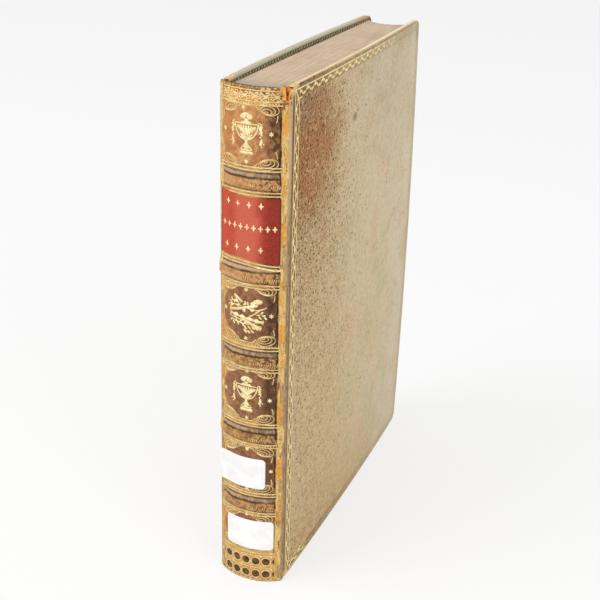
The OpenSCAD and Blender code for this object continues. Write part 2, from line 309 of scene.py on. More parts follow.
def backPoint(u, h, w):
    r = backRadius + bandLift(u, h) + hollows(u, h) + w
    return Vector((r * math.sin(u / backRadius), backCentreY - r * math.cos(u / backRadius), h))


def bow(a, h, side):  # how far an old board stands out from its flat shape
    s, t = max(0, min(1, a / book["coverWidth"])), 2 * h / book["height"] - 1
    foreEdge, middle = book["bow"][side]
    return side * (foreEdge * s ** 1.3 * (1 - t * t) + middle * 4 * s * (1 - s))


def coverPoint(a, h, w, side):
    x = book["jointX"] - a * math.sin(lean) + w * math.cos(lean)
    return Vector((side * x + bow(a, h, side), book["jointY"] + a * math.cos(lean) + w * math.sin(lean), h))


def ontoBack(piece):
    settle(piece)
    for v in piece.data.vertices:
        v.co = backPoint(*v.co)
    mended(piece)


def reshaped(piece, change):  # moves each point by its place round the back: u, r from the axis, and h
    for v in piece.data.vertices:
        x, deep = v.co.x, backCentreY - v.co.y
        u, r, h = change(backRadius * math.atan2(x, deep), math.hypot(x, deep), v.co.z)
        v.co = Vector((r * math.sin(u / backRadius), backCentreY - r * math.cos(u / backRadius), h))


def ontoCover(piece, side):
    settle(piece)
    for v in piece.data.vertices:
        v.co = coverPoint(*v.co, side)
    mended(piece)


print("tools ready")

# Colours of the leathers
calf = {
    "tan": tone(204, 180, 136), "paleSheen": tone(212, 198, 170), "pink": tone(208, 172, 130),
    "green": tone(186, 176, 132), "brown": tone(182, 140, 84), "burnt": tone(168, 100, 34),
    "speck": tone(66, 34, 6), "inside": tone(98, 86, 60), "mauve": tone(176, 146, 108),
    "worn": tone(236, 200, 124), "peeled": tone(234, 166, 72), "rust": tone(168, 100, 46),
    "golden": tone(216, 174, 104), "ground": tone(120, 78, 50), "streaked": tone(166, 116, 78),
    "litRubbed": tone(200, 130, 72), "dark": tone(60, 40, 26), "black": tone(36, 26, 20),
    "slopeHighlight": tone(190, 158, 120), "slate": tone(132, 104, 76), "crest": tone(146, 98, 56),
    "cream": tone(244, 226, 186),
}


def sprinkledCalf():
    f = Finish("sprinkledCalf", Roughness=0.55, Specular_IOR_Level=0.14)
    a, front = f.y - book["jointY"] / mm, f.x.rise(-1, 1)
    s, t = (a / 236).most(0).least(1), f.z / 162.5 - 1
    foreEdge, middle = [(book["bow"][1][k] - book["bow"][-1][k]) / mm * front + book["bow"][-1][k] / mm
                        for k in (0, 1)]
    bowed = (s ** 1.3) * (1 - t * t) * foreEdge + s * (1 - s) * 4 * middle
    depth = book["jointX"] / mm - a * math.tan(lean) + bowed - abs(f.x)
    broad, patch, fine = f.cloud(0.012, 3), f.cloud(0.04, 4), f.cloud(1.1, 3)
    near, high = a.rise(150, 0), f.z.rise(90, 290)
    # paler towards the fore-edge and the head: painted sheen, with some random tone
    colour = f.mix((a * 0.0036 + f.z * 0.001 + broad * 0.8).rise(0.6, 1.5), calf["tan"], calf["paleSheen"])
    colour = f.mix(patch.rise(0.48, 0.7) * 0.55, colour, calf["pink"])
    colour = f.mix(f.cloud(0.027, 4).rise(0.48, 0.66) * 0.5, colour, calf["green"])
    colour = f.mix(near * (high * 0.5 + 0.12), colour, calf["brown"])
    colour = f.mix(f.z.rise(75, 0) * a.rise(260, 0) * 0.5, colour, calf["brown"])
    heart = 1 - ((a - 24) / 54) ** 2 - ((f.z - 282) / 50) ** 2 - (1 - front) * 0.55
    colour = f.mix((heart + (patch - 0.5) * 1.1).rise(-0.35, 1.1) * 0.85, colour, calf["burnt"])
    colour = f.mix(f.z.rise(215, 285) * a.rise(90, 150) * a.rise(236, 200) * 0.2, colour, tone(150, 124, 92))
    colour = f.mix(f.z.rise(292, 312) * a.rise(60, 20) * 0.5, colour, tone(136, 106, 80))
    grain = f.cloud(0.33, 4, 0.7)
    colour = f.mix(grain.rise(0.5, 0.34) * (near * 0.25 + 0.2), colour, tone(132, 104, 66))
    colour = f.mix(grain.rise(0.52, 0.66) * 0.5, colour, tone(222, 204, 166))
    dense = near * (high * 0.45 + 0.36) + (patch - 0.5) * 0.4 + 0.12 - f.z.rise(90, 20) * 0.12
    for scale, reach, strength in ((0.27, 0.34, 1.0), (0.46, 0.4, 0.95), (0.8, 0.45, 0.8)):
        spread, size, chance = f.cells(scale, f.vector(f.y, f.z, 0))
        speck = (size * 0.6 + 0.4 - spread / reach).rise(0, 0.35) * (dense - chance).rise(0, 0.15)
        colour = f.mix(speck * (near * (high * 0.3 + 0.15) + 0.5) * strength, colour, calf["speck"])
    colour = f.mix((fine - 0.5).rise(0, 0.3) * 0.3, colour, calf["brown"])
    d = (162.5 - abs(f.z - 162.5)).least(236 - a).least(a - 2.6)
    framed = d.rise(2.4, 3.0) * d.rise(8.0, 7.2)
    colour = f.mix(framed * (a.rise(200, 20) * 0.35 + 0.2), colour, tone(122, 92, 50))
    colour = f.mix(d.rise(0.3, 0.7) * d.rise(2.3, 1.5) * fine.rise(0.3, 0.6) * 0.7, colour, tone(112, 86, 56))
    spot = 1 - ((a - 100) / 4.2) ** 2 - ((f.z - 286) / 3.2) ** 2 + (fine - 0.5)
    colour = f.mix(spot.rise(0.0, 0.5) * front * 0.7, colour, calf["slate"])
    corner = ((a / 236).most(0) ** 2 * abs(f.z / 162.5 - 1) ** 2 + (patch - 0.5) * 0.12).rise(0.86, 0.97)
    colour = f.mix(corner * 0.8, colour, calf["worn"])
    colour = f.mix((a + (fine - 0.5) * 1.5).rise(4.4, 2.4) * 0.7, colour, calf["mauve"])
    groove = (abs(a - 2.6 + (fine - 0.5)) + (patch - 0.5) * 3).rise(1.5, 0.6)
    colour = f.mix(groove * 0.7, colour, tone(104, 66, 40))
    edge = depth.rise(0.7, 1.4).most(a.rise(235, 235.9))
    backEdge = f.mix((a + (patch - 0.5) * 40).rise(190, 225), tone(196, 192, 168), tone(206, 160, 112))
    onEdge = f.mix(front, backEdge, f.mix(fine.rise(0.25, 0.5), tone(226, 196, 152), calf["cream"]))
    colour = f.mix(edge * 0.95, colour, onEdge)
    rubbed = (a + abs(f.z - 162.5) * -1.6 + 256 + (fine - 0.5) * 5).rise(9, 5)
    colour = f.mix(rubbed * 0.85, colour, f.mix(fine.rise(0.4, 0.6), calf["worn"], tone(222, 176, 124)))
    inside = depth.rise(4.0, 4.25) * (f.z + (fine - 0.5) * 1.2 - front * 5).rise(324.2, 322.8)
    colour = f.mix(inside, colour, f.mix(fine.rise(0.3, 0.7), calf["inside"], tone(116, 104, 80)))
    f.wear(Base_Color=colour, Roughness=0.62 - fine * 0.16 - broad * 0.1)
    f.relief(f.cloud(1.6, 4) * 0.6 + patch * 0.4 + fine * 0.3, 0.12 * mm, 0.5)
    return f


def roundBack(f):  # place round the back from its middle, and depth under the panels, in mm
    across, deep = f.x, backCentreY / mm - f.y
    u = f.maths("ARCTAN2", across, deep) * (backRadius / mm)
    return u, backRadius / mm - f.maths("SQRT", across * across + deep * deep)


def spineCalf():
    f = Finish("spineCalf", Roughness=0.5, Specular_IOR_Level=0.22)
    u, depth = roundBack(f)
    patch, fine, mottle = f.cloud(0.09, 4), f.cloud(0.7, 4, 0.6), f.cloud(0.32, 4, 0.65)
    streak = f.cloud(0.5, 4, 0.6, f.stretched(1, 1, 0.2))
    colour = f.mix(mottle.rise(0.35, 0.65), tone(184, 138, 78), calf["golden"])
    # darker towards the right of the back: painted shade
    right = (u + (mottle - 0.5) * 5).rise(4, 9) * (f.z.rise(20, 60) * 0.85)
    colour = f.mix(right, colour, f.mix(mottle.rise(0.4, 0.6), calf["dark"], calf["crest"]))
    medallion = 0
    for low, high in panels:
        oval = 1 - ((u + 1.2) / 18.4) ** 2 - ((f.z - (low + high) / 2) / ((high - low) / 2)) ** 2
        medallion = oval.most(medallion)
    inside = (medallion + (fine - 0.5) * 0.14).rise(0.0, 0.1)
    ground = f.mix((mottle * 0.6 + fine * 0.4).rise(0.38, 0.62), calf["ground"], calf["streaked"])
    high = f.z.rise(262, 272)
    ground = f.mix(high * 0.9, ground, f.mix(mottle.rise(0.4, 0.6), tone(176, 116, 68), tone(216, 158, 102)))
    # the ground of the ovals darkens towards the right: painted shade
    colour = f.mix(inside, colour, f.mix(u.rise(3, 15) * 0.6, ground, calf["dark"]))
    # lighter and more orange towards the left of the back: painted light over rubbed leather
    colour = f.mix(u.rise(-9, -14) * high * (1 - inside) * 0.6, colour, tone(166, 106, 60))
    left = (u + (patch - 0.5) * 12).rise(-6, -17) * (high * 0.7 + 0.3)
    colour = f.mix(left * (mottle.rise(0.3, 0.7) * 0.6 + 0.3), colour, calf["litRubbed"])
    # bands: a painted highlight greys the upper slope; the crest is rubbed and blackened
    zone, t = 0, 0
    for z in book["bands"]:
        off = f.z - z / mm
        here = abs(off).rise(6.0, 5.2)
        zone, t = here + zone, here * off + t
    burn = f.cloud(0.4, 4, 0.65, f.stretched(1, 1, 0.7)).rise(0.42, 0.54) * u.rise(9, 13) * u.rise(17.6, 16.6)
    colour = f.mix(burn * f.z.rise(60, 150) * 0.85, colour, tone(72, 42, 24))
    blot = f.cloud(0.42, 4, 0.65).rise(0.5, 0.56) * (u.rise(-8, 13) * 0.75 + 0.1)
    crest = f.mix(mottle.rise(0.36, 0.62), calf["crest"], tone(206, 158, 92))
    crest = f.mix(f.z.rise(190, 205) * 0.4, crest, tone(226, 164, 106))
    crest = f.mix(blot, crest, tone(78, 42, 28))
    # painted highlight on the upper slope of each band
    upper = f.mix((streak * 0.5 + mottle * 0.5 - u * 0.006).rise(0.36, 0.6), calf["slate"], calf["slopeHighlight"])
    upper = f.mix(f.z.rise(190, 205) * f.z.rise(245, 230) * 0.5, upper, tone(216, 176, 130))
    swing = t + (streak - 0.5) * 1.4
    band = f.mix(swing.rise(2.2, 2.9), crest, upper)
    band = f.mix(abs(swing - 2.5).rise(1.0, 0.3) * (patch.rise(0.3, 0.5) * 0.4 + 0.5), band, calf["dark"])
    # painted shade in the creases along both edges of each band
    band = f.mix((abs(abs(t) - 5.2) + (fine - 0.5)).rise(0.8, 0.2) * 0.75, band, calf["dark"])
    colour = f.mix(zone, colour, band)
    # tail: dark discs between the rings of the roll
    du = f.maths("PINGPONG", u + 14.3 + 67.5, 3.375)
    disc = 1 - (du / 2.7) ** 2 - (abs(abs(f.z - 10.75) - 4.85) / 2.75) ** 2 + (fine - 0.5) * 0.3
    gilded = f.mix(mottle.rise(0.3, 0.7), tone(196, 142, 66), tone(228, 180, 94))
    gilded = f.mix(fine.rise(0.54, 0.64) * 0.55, gilded, tone(136, 84, 42))
    gilded = f.mix(disc.rise(0, 0.15), gilded, f.mix(mottle.rise(0.35, 0.6), tone(60, 42, 22), tone(116, 84, 46)))
    gilded = f.mix((f.z + (fine - 0.5) * 2).rise(2.4, 0.8) * 0.7, gilded, tone(132, 82, 48))
    colour = f.mix(f.z.rise(22.5, 21.5), colour, gilded)
    # joints and ends rubbed to orange
    worn = f.mix(streak.rise(0.5, 0.66), calf["worn"], calf["rust"])
    worn = f.mix(patch.rise(0.48, 0.6), worn, calf["peeled"])
    joint = (u + (streak - 0.5) * 4).rise(17.8, 18.6).most((u + (streak - 0.5) * 4).rise(-18.8, -20.2))
    colour = f.mix(joint, colour, worn)
    ends = (f.z - 162.5).most(162.0 - f.z) + (mottle - 0.5) * 5
    rubbed = f.z.rise(314.5, 317) * ((u - patch * 20).rise(6, -12) * 0.4 + 0.5)
    bare = f.mix(fine.rise(0.5, 0.62), f.mix(patch.rise(0.4, 0.6), tone(224, 170, 96), calf["peeled"]), tone(146, 82, 36))
    colour = f.mix(rubbed, colour, bare)
    colour = f.mix(ends.rise(158.6, 160.4), colour, f.mix(fine.rise(0.35, 0.6), worn, calf["crest"]))
    cracks = f.cloud(0.9, 5, 0.65, f.stretched(1, 1, 0.35))
    line = 1 - (abs(cracks - 0.5) / 0.02).least(1)
    split = (abs(u - 17.5) + (streak - 0.5) * 1.6).rise(0.8, 0.35) * patch.rise(0.4, 0.5) * f.z.rise(12, 26)
    colour = f.mix((line * (joint.most(ends.rise(158, 160)) * 0.7 + 0.12)).most(split * 0.9), colour, calf["black"])
    colour = f.mix((depth - zone * 0.6).rise(0.3, 0.5), colour, calf["black"])
    f.wear(Base_Color=colour, Roughness=0.6 - fine * 0.25)
    f.relief(fine * 0.5 + streak * 0.5 - line * 0.4 - split * 0.4, 0.14 * mm, 0.5)
    return f


def gilt(name, keep, fades=False, bright=tone(246, 222, 162), deep=tone(224, 184, 118)):
    f = Finish(name, Roughness=0.38, Metallic=0.4, Specular_IOR_Level=0.5)
    rub, broad = f.cloud(0.55, 4, 0.6), f.cloud(0.07, 3)
    left = keep + (rub - 0.5) * 1.1 + (broad - 0.5) * 0.9
    if fades:
        a = f.y - book["jointY"] / mm
        left = left - (a - 60).most(0) * 0.003 - a.rise(160, 220) * 0.25 - a.rise(12, 50) * f.z.rise(30, 12) * 0.6
        left = left - f.z.rise(315.2, 315.7) * f.z.rise(318.4, 317.8) * a.rise(12, 16) * 0.55
    f.wear(Base_Color=f.mix(f.cloud(0.3, 3).rise(0.35, 0.65), bright, deep),
           Alpha=left.rise(0.42, 0.58), Roughness=0.3 + rub * 0.25)
    f.relief(rub, 0.05 * mm, 0.4)
    return f


def cutPaper():
    f = Finish("cutPaper", Roughness=0.85, Specular_IOR_Level=0.2)
    lines = f.cloud(1.0, 4, 0.7, f.stretched(2.4, 0.03, 0.03))
    wavy = f.cloud(1.0, 3, 0.6, f.stretched(1.1, 0.05, 0.02))
    dust = f.cloud(0.06, 4)
    colour = f.mix(lines.rise(0.3, 0.7), tone(194, 168, 138), tone(226, 204, 177))
    colour = f.mix(wavy.rise(0.5, 0.62) * 0.3, colour, tone(172, 146, 118))
    colour = f.mix(dust.rise(0.4, 0.75) * 0.35, colour, tone(180, 158, 132))
    nearBand = (f.y - book["jointY"] / mm).rise(26, 4) * f.z.rise(300, 318)
    colour = f.mix(nearBand * 0.6, colour, tone(150, 150, 134))
    f.wear(Base_Color=colour)
    f.relief(lines + wavy * 0.5, 0.2 * mm, 0.6)
    return f


def plainFinish(name, dark, light, scale, rough, fibre=(1, 1, 1), depth=0.1):
    f = Finish(name, Roughness=rough, Specular_IOR_Level=0.3)
    grain = f.cloud(scale, 4, 0.6, f.stretched(*fibre))
    broad = f.cloud(scale * 0.12, 3)
    f.wear(Base_Color=f.mix((grain * 0.6 + broad * 0.4).rise(0.3, 0.7), dark, light))
    f.relief(grain, depth * mm, 0.5)
    return f


def redLeather():
    f = Finish("redLeather", Roughness=0.5, Specular_IOR_Level=0.25)
    u, depth = roundBack(f)
    fine, patch = f.cloud(0.9, 4, 0.6), f.cloud(0.07, 4)
    colour = f.mix(fine.rise(0.3, 0.7), tone(160, 42, 28), tone(192, 72, 50))
    # painted light: brighter red towards the left of the round back; painted shade: darker red towards the right
    lit = u.rise(-14, -6) * (u + (patch - 0.5) * 12).rise(10, 2)
    colour = f.mix((u + (patch - 0.5) * 8).rise(-8, -15) * 0.7, colour, tone(208, 78, 48))
    colour = f.mix(lit * 0.55, colour, tone(222, 116, 92))
    colour = f.mix(u.rise(4, 14) * 0.6, colour, tone(118, 28, 18))
    ends = abs(u + 1.2) + (fine - 0.5) * 2
    colour = f.mix(ends.rise(18.2, 19.6) * 0.7, colour, tone(84, 28, 20))
    f.wear(Base_Color=colour, Roughness=0.6 - fine * 0.25)
    f.relief(f.cloud(1.2, 3), 0.1 * mm, 0.5)
    return f


def labelPaper():
    f = Finish("labelPaper", Roughness=0.6, Specular_IOR_Level=0.3)
    soft = f.cloud(0.12, 3)
    grain = f.cloud(1.5, 3)
    colour = f.mix(soft.rise(0.35, 0.7), tone(253, 253, 253), tone(243, 242, 241))
    f.wear(Base_Color=f.mix(grain.rise(0.6, 0.75) * 0.2, colour, tone(206, 202, 192)))
    f.relief(soft * 0.7 + grain * 0.3, 0.12 * mm, 0.4)
    return f


def threadFinish():
    f = Finish("endbandThread", Roughness=0.7, Sheen_Weight=0.2)
    u, depth = roundBack(f)
    stripe = f.maths("SINE", u * 2.2)
    worn = f.cloud(0.8, 3)
    colour = f.mix(stripe.rise(-0.3, 0.3), tone(62, 72, 80), tone(120, 116, 106))
    f.wear(Base_Color=f.mix(worn.rise(0.45, 0.7) * 0.6, colour, tone(84, 78, 70)))
    f.relief(f.cloud(4, 3), 0.08 * mm, 0.5)
    return f


# Tooled ovals of the panels, lowest and highest edge from the tail in mm
panels = [(23.5, 51.5), (68, 100.5), (118, 155), (171, 209), (279, 314.5)]

calfSpine = spineCalf()
calfCover = sprinkledCalf()
goldSpine = gilt("goldOnSpine", 0.92)
goldBold = gilt("goldOnPanels", 1.05, False, tone(255, 240, 190), tone(242, 214, 148))
goldCover = gilt("goldOnCovers", 0.9, True, tone(252, 232, 168), tone(232, 204, 128))
goldFaint = gilt("goldOnEdges", 0.64)
goldInside = gilt("goldInside", 0.95, False, tone(206, 194, 160), tone(176, 164, 128))
edgePaper = cutPaper()
red = redLeather()
paper = labelPaper()
dress(paper, "lower_paper_label")
dress(threadFinish(), "head_endband_thread", "tail_endband_thread")
hemp = plainFinish("hempCord", tone(150, 122, 82), tone(202, 178, 134), 2.0, 0.85)
dress(hemp, *[f"{side}_slip_{i}" for side in ("front", "back") for i in range(1, 6)])
greyBoard = plainFinish("pasteboard", tone(140, 118, 86), tone(184, 162, 124), 0.6, 0.9)
endpaper = plainFinish("endpaper", tone(196, 180, 148), tone(224, 212, 184), 0.25, 0.85)
dress(endpaper, "front_free_endpaper", "back_free_endpaper")
dress(plainFinish("liningPaper", tone(170, 150, 116), tone(212, 194, 160), 0.3, 0.9),
      *[f"spine_lining_{i}" for i in range(1, 7)])
dress(plainFinish("linenCore", tone(150, 134, 104), tone(196, 182, 150), 2.0, 0.9),
      "head_endband_core", "tail_endband_core")
print("finishes made")


# Leather of the back: one skin over cords and panels, folded in at head and tail
spine = {
    "halfWidth": 22.6 * mm,
    "columns": 88,
    "thick": 0.5 * mm,
    "foldRadius": 0.62 * mm,
    "turnIn": 9 * mm,
    "sideX": 21.2 * mm,
    "tearWidth": 5.5 * mm,
    "tearDepth": 9 * mm,
}


def skinRows():  # places along the leather, tail to head: how far in from the back, and the height
    fold, top = spine["foldRadius"], book["height"]
    heights = []
    h = fold
    while h < top - fold:
        nearBand = min(abs(h - z) for z in book["bands"]) < 5.6 * mm
        nearEnd = min(h, top - h) < 12 * mm
        heights.append((0, h))
        h += 0.42 * mm if nearBand else 0.9 * mm if nearEnd else 1.7 * mm
    heights.append((0, top - fold))
    bend = [(fold * (1 - math.cos(t)), fold * math.sin(t)) for t in (i * math.pi / 8 for i in range(1, 9))]
    head = [(d, top - fold + s) for d, s in bend] + [(2 * fold, top - spine["turnIn"])]
    tail = [(2 * fold, spine["turnIn"])] + [(d, fold - s) for d, s in reversed(bend)]
    return tail + heights + head


def inTear(u, h):  # where the leather is lost at the head of the front joint
    x = backRadius * math.sin(u / backRadius)
    across = (x - (spine["sideX"] - spine["tearWidth"])) / spine["tearWidth"]
    depth = (book["height"] - h) / spine["tearDepth"]
    ragged = noise.noise(Vector((u, h, 0)) / (1.4 * mm)) * 0.16
    return across > 0.05 + 0.6 * max(0, depth - 0.15) ** 1.4 + ragged and depth < 1 + ragged


def torn(piece, lost):
    pick(piece)
    bpy.ops.object.mode_set(mode="EDIT")
    bpy.ops.mesh.select_all(action="DESELECT")
    bpy.ops.mesh.select_mode(type="VERT")
    bpy.ops.object.mode_set(mode="OBJECT")
    for v, gone in zip(piece.data.vertices, lost):
        v.select = gone
    bpy.ops.object.mode_set(mode="EDIT")
    bpy.ops.mesh.delete(type="VERT")
    bpy.ops.object.mode_set(mode="OBJECT")


def makeSpineSkin():
    rows = skinRows()
    bpy.ops.mesh.primitive_grid_add(x_subdivisions=spine["columns"], y_subdivisions=len(rows) - 1, size=1)
    skin = bpy.context.object
    skin.name = skin.data.name = "spineSkin"
    lost = []
    for v in skin.data.vertices:
        u = v.co.x * 2 * spine["halfWidth"]
        drop, h = rows[round((v.co.y + 0.5) * (len(rows) - 1))]
        end = max(0, 1 - min(h, book["height"] - h) / (3 * mm))
        ragged = noise.noise(Vector((u / (1.6 * mm), 1 if h > 0.1 else 9, 0)))
        lost.append(drop < 1.3 * mm and inTear(u, h))
        v.co = backPoint(u, h + (-0.35 if h > 0.1 else 0.2) * mm * end * abs(ragged), -drop)
        v.co.x = max(-spine["sideX"], min(spine["sideX"], v.co.x))
    torn(skin, lost)
    modify(skin, "SOLIDIFY", thickness=spine["thick"], offset=-1)
    finished(skin, calfSpine, "block")
    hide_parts("spine_leather")
    return skin


# Cords pressed in at the left, under the flattened bands
def makeCord(number):
    cord = copied(f"sewing_cord_{number}", f"pressedCord_{number}")
    def pressed(u, r, h):
        left = max(0, min(1, (-u / mm - 10) / 8))
        return u, r - book["bandRise"] * book["flat"][number - 1] * left, h
    reshaped(cord, pressed)
    finished(cord, hemp, "block")
    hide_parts(f"sewing_cord_{number}")


makeSpineSkin()
for number in range(1, 6):
    makeCord(number)
print("spine skin and cords made")


# Flap of leather rolled up at the head of the front joint, sizes in mm and radians
scrap = {"across": 24, "along": 12, "x": 19.9, "y": -117.2, "low": 317.6, "high": 326.6,
         "foot": 1.8, "mouth": 2.4, "gap": -0.75, "thick": 0.45}

# Leather over the joints, from the back onto each cover
joint = {
    "from": 19.9 * mm,      # along the back
    "to": 1.5 * mm,         # onto the cover
    "lift": 0.14 * mm,
    "thick": 0.12 * mm,
    "clampX": 21.36 * mm,
    "steps": 13,
    "rowStep": 0.9 * mm,
    "tear": 10 * mm,        # the front strip is wider and full of holes for this much below the head
    "tearReach": 3.2 * mm,
}


def jointPoint(s, h, side):
    lift = joint["lift"]
    reach = max(0, min(1, (h - book["height"] + joint["tear"]) / (2 * mm))) if side > 0 else 0
    start = joint["from"] - joint["tearReach"] * reach
    ragged = noise.noise(Vector((h / (4 * mm), side * 3, 0))) * 0.5 + noise.noise(Vector((h / mm, side, 1))) * 0.25
    if s < 0.62:
        t = s / 0.62
        u = start + ragged * mm * (1 - t) + (22.9 * mm - start) * t
        point = backPoint(side * u, h, lift)
        point.x = min(abs(point.x), joint["clampX"])
        edge = coverPoint(0, h, lift, 1)
        point.y = min(point.y, edge.y - 0.3 * mm * (1 - t))
    else:
        t = (s - 0.62) / 0.38
        point = coverPoint(joint["to"] * t + 0.2 * mm + ragged * 0.4 * mm * t, h, lift, 1)
    return Vector((side * point.x, point.y, point.z))


def makeJoint(name, side):
    low = 1.2 * mm
    high = book["height"] - 1.2 * mm
    rows = round((high - low) / joint["rowStep"])
    bpy.ops.mesh.primitive_grid_add(x_subdivisions=joint["steps"], y_subdivisions=rows, size=1)
    strip = bpy.context.object
    strip.name = strip.data.name = name
    lost = []
    for v in strip.data.vertices:
        s, h = v.co.x + 0.5, low + (v.co.y + 0.5) * (high - low)
        ragged = noise.noise(Vector((s * 3.5, h / (2.4 * mm), 7)))
        lost.append(side > 0 and h > book["height"] - joint["tear"] and s < 0.75 and ragged > 0.22)
        v.co = jointPoint(s, h, side)
    torn(strip, lost)
    modify(strip, "SOLIDIFY", thickness=joint["thick"], offset=-1 if side > 0 else 1)
    mended(strip)
    finished(strip, calfJoint, None)
    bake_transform(strip)
    return strip


def jointCalf():
    f = Finish("jointCalf", Roughness=0.6, Specular_IOR_Level=0.3)
    streak, fine, patch = f.cloud(0.8, 4, 0.6, f.stretched(1, 1, 0.25)), f.cloud(1.0, 4, 0.6), f.cloud(0.06, 3)
    onCover = (f.y - book["jointY"] / mm + (streak - 0.5) * 1.6).rise(-1.1, -0.3)
    worn = f.mix(streak.rise(0.5, 0.66), calf["worn"], calf["rust"])
    worn = f.mix(f.cloud(0.09, 4).rise(0.48, 0.6), worn, calf["peeled"])
    upper = f.z.rise(235, 285)
    dark = f.mix(streak.rise(0.32, 0.6), calf["slate"], calf["mauve"])
    dark = f.mix(upper * 0.7, dark, tone(214, 184, 144))
    colour = f.mix(onCover.most(patch.rise(0.5, 0.6) * (0.7 - upper * 0.6)), worn, dark)
    colour = f.mix((f.z + (fine - 0.5) * 4).rise(315, 319) * 0.9, colour, f.mix(fine.rise(0.4, 0.6), calf["cream"], calf["peeled"]))
    line = 1 - (abs(f.cloud(1.0, 5, 0.65, f.stretched(1, 1, 0.3)) - 0.5) / 0.02).least(1)
    f.wear(Base_Color=f.mix(line * 0.75, colour, calf["black"]))
    f.relief(streak * 0.6 + fine * 0.4 - line * 0.5, 0.2 * mm, 0.6)
    return f


def tornCalf():
    f = Finish("tornCalf", Roughness=0.6, Specular_IOR_Level=0.3)
    blotch, fine = f.cloud(0.5, 4, 0.65), f.cloud(1.3, 4, 0.6)
    colour = f.mix(fine.rise(0.35, 0.65), tone(250, 182, 88), tone(222, 140, 58))
    colour = f.mix(blotch.rise(0.52, 0.6) * 0.8, colour, tone(112, 60, 28))
    dx, dy = f.x - scrap["x"], f.y - scrap["y"]
    # the inside of the curl painted black: painted shade in its hollow
    inner = f.maths("SQRT", dx * dx + dy * dy) - (f.z - scrap["low"]).rise(0, 10) * (scrap["mouth"] - scrap["foot"])
    curlShade = inner.rise(scrap["foot"] - 0.25, scrap["foot"] - 0.6) * (f.z - scrap["low"]).rise(0.7, 1.7)
    f.wear(Base_Color=f.mix(curlShade, colour, calf["black"]))
    f.relief(fine + blotch, 0.25 * mm, 0.6)
    return f


# Covers: the same pieces as in the frame, with their boards a little bowed
def makeCover(word, side):
    for part, finish, slot in (("leather", calfCover, "sprinkled_calf"), ("gilding", goldCover, "gold"),
                               ("board", greyBoard, "pasteboard"), ("pastedown", endpaper, "endpaper")):
        piece = copied(f"{word}_{part}", f"{word}Bowed{part.title()}")
        low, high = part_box(f"{word}_{part}")
        step = (high - low) / 16
        cut(piece, 1, [low.y + i * step.y for i in range(1, 16)])
        cut(piece, 2, [low.z + i * step.z for i in range(1, 16)])
        for v in piece.data.vertices:
            v.co.x += bow(v.co.y - book["jointY"], v.co.z, side)
        finished(piece, finish, f"{word}_cover", smooth="soft")
        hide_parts(f"{word}_{part}")


makeCover("front", 1)
makeCover("back", -1)
print("covers made")

calfJoint = jointCalf()
makeJoint("frontJointLeather", 1)
makeJoint("backJointLeather", -1)
print("joints made")


# Leaves: the sewn block, its edges broken into gatherings
leaves = {"cuts": 62, "waves": 14, "rough": 0.22 * mm, "sway": 0.16 * mm, "seed": 7}


def makeLeaves():
    chance = random.Random(leaves["seed"])
    block = copied("text_block", "leaves")
    low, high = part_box("text_block")
    pick(block)
    bpy.ops.object.mode_set(mode="EDIT")
    bpy.ops.mesh.select_all(action="SELECT")
    bpy.ops.mesh.dissolve_limited(angle_limit=math.radians(0.5))
    bpy.ops.object.mode_set(mode="OBJECT")
    step = (high - low) / leaves["cuts"]
    cut(block, 0, [low.x + (i + chance.uniform(-0.35, 0.35)) * step.x for i in range(1, leaves["cuts"])])
    step = (high - low) / leaves["waves"]
    cut(block, 1, [low.y + i * step.y for i in range(1, leaves["waves"])])
    cut(block, 2, [low.z + i * step.z for i in range(1, leaves["waves"])])
    for v in block.data.vertices:
        x, y, z = v.co
        if abs(x) > high.x - 0.4 * mm:
            continue
        sink = leaves["rough"] * abs(noise.noise(Vector((x / (0.45 * mm), 0, 0))))
        sway = leaves["sway"] * noise.noise(Vector((x / (6 * mm), y / (30 * mm), z / (40 * mm))))
        v.co.x += sway
        if z > high.z - 0.1 * mm:
            v.co.z -= sink
        elif z < low.z + 0.1 * mm:
            v.co.z += sink
        if y > 0.09:
            v.co.y -= sink
    finished(block, edgePaper, "block", smooth=False)
    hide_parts("text_block")
    return block


makeLeaves()
print("leaves made")


# Upper paper label, its left end lifting off the leather
def makeLiftedLabel():
    label = copied("upper_paper_label", "liftedLabel")
    reshaped(label, lambda u, r, h: (u, r + 2.3 * mm * max(0, (-u / mm - 14) / 8) ** 1.5, h))
    finished(label, paper, "block", smooth=False)
    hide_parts("upper_paper_label")


# Lettering piece and the gold lines under it, a little askew: lower at the right, higher at the left
askew = {"right": -2.4 * mm, "left": 1.6 * mm, "lines": (217 * mm, 229 * mm)}


def makeAskew():
    low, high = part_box("lettering_piece")
    middle = (low.z + high.z) / 2

    def leaning(u, r, h):
        shift = askew["right"] * max(0, min(1, (u / mm + 6) / 22)) if h < middle else 0
        shift += askew["left"] * max(0, min(1, (-u / mm - 4) / 14)) if h > middle else 0
        return u, r + bandLift(u, h + shift) - bandLift(u, h), h + shift

    piece = copied("lettering_piece", "askewLettering")
    reshaped(piece, leaning)
    finished(piece, red, "block", smooth=False)
    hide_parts("lettering_piece")
    lines = copied("spine_gilding", "askewGilding")
    reshaped(lines, lambda u, r, h: leaning(u, r, h) if askew["lines"][0] < h < askew["lines"][1] else (u, r, h))
    finished(lines, goldSpine, "block", smooth=False)
    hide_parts("spine_gilding")


makeLiftedLabel()
makeAskew()

# Gold tooling, drawn flat in mm and then laid on the leather
gold = {"line": 0.42, "thick": 0.16, "lift": 0.03}


